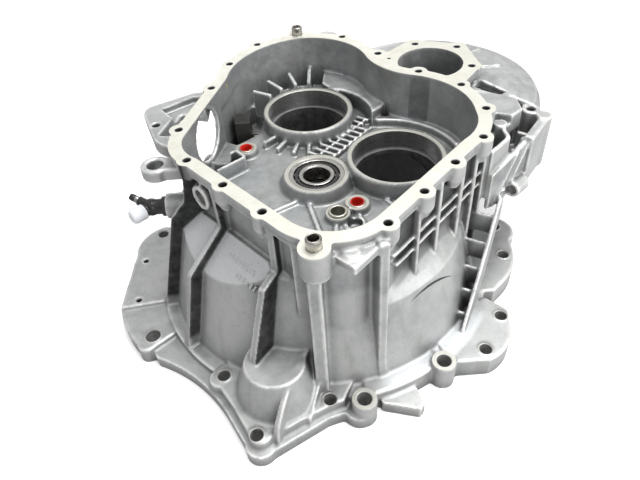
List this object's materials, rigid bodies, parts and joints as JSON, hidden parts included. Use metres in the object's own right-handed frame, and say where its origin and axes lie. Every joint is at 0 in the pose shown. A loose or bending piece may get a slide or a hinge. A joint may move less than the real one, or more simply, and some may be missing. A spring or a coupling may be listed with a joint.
{
  "type": "clutch housing of a manual transmission",
  "caption": "Cast bell-shaped clutch housing of a transverse manual gearbox with input bearing, release mechanism, seals, bushes and hydraulic line.",
  "frame": {"origin": "on the input shaft's axis, in the machined face that bolts to the engine", "axes": "+Z from the engine face to the gear case along the input shaft, +X towards the differential, +Y towards the rear output bore"},
  "size_m": [0.447, 0.4404, 0.194],
  "materials": {
    "cast_aluminium": "shot blasted die casting with milled faces",
    "bearing_steel": "ground and polished",
    "sleeve_steel": "turned",
    "bush_steel": "ground",
    "cage_polymer": "moulded, oiled",
    "liner_red": "moulded",
    "seal_rubber": "moulded",
    "magnet_black": "ferrite",
    "clip_steel": "pressed",
    "spring_steel": "wire",
    "slave_aluminium": "anodised",
    "pipe_steel": "zinc plated",
    "elbow_black": "glass filled polyamide",
    "cap_white": "polyethylene",
    "bolt_steel": "black oxide"
  },
  "bodies": {
    "housing": {"clutch_housing": "cast_aluminium", "front_locating_sleeve": "sleeve_steel", "rear_locating_sleeve": "sleeve_steel", "input_bearing_outer_race": "bearing_steel", "input_shaft_seal": "seal_rubber", "driveshaft_oil_seal": "seal_rubber", "input_bearing_snap_ring": "clip_steel", "shift_rail_bush_left": "bush_steel", "shift_rail_liner_left": "liner_red", "shift_rail_bush_right": "bush_steel", "shift_rail_liner_right": "liner_red", "selector_shaft_bush": "bush_steel", "chip_magnet": "magnet_black", "magnet_clip": "clip_steel", "release_guide_sleeve": "sleeve_steel", "slave_cylinder_body": "slave_aluminium", "slave_cylinder_bolts": "bolt_steel", "hydraulic_pipe": "pipe_steel", "wall_grommet": "seal_rubber", "hydraulic_elbow": "elbow_black", "dust_cap": "cap_white", "release_spring": "spring_steel"},
    "inner_ring": {"input_bearing_inner_race": "bearing_steel"},
    "roller_set": {"input_bearing_cage": "cage_polymer", "input_bearing_rollers": "bearing_steel"},
    "release_slide": {"release_piston": "slave_aluminium", "release_bearing_inner_race": "bearing_steel", "release_bearing_balls": "bearing_steel"},
    "thrust_ring": {"release_bearing_outer_race": "bearing_steel"},
    "bleed_screw": {"bleed_nipple": "pipe_steel", "bleed_nipple_cap": "elbow_black"}
  },
  "joints": [
    {"name": "input_shaft_spin", "type": "hinge", "parent": "housing", "child": "inner_ring", "pos_m": [0, 0, 0.1285], "axis": [0, 0, 1], "continuous": true},
    {"name": "roller_orbit", "type": "hinge", "parent": "housing", "child": "roller_set", "pos_m": [0, 0, 0.1285], "axis": [0, 0, 1], "continuous": true},
    {"name": "release_travel", "type": "slide", "parent": "housing", "child": "release_slide", "axis": [0, 0, -1], "range_m": [0, 0.008], "deforming": ["release_spring"]},
    {"name": "thrust_spin", "type": "hinge", "parent": "release_slide", "child": "thrust_ring", "pos_m": [0, 0, 0.055], "axis": [0, 0, 1], "continuous": true},
    {"name": "bleed_turn", "type": "hinge", "parent": "housing", "child": "bleed_screw", "pos_m": [-0.158, -0.008, 0.118], "axis": [-0.8611, 0.3827, 0.3349], "range_deg": [0, 270]}
  ],
  "couplings": [
    {"joint": "roller_orbit", "follows": "input_shaft_spin", "ratio": 0.43005}
  ]
}
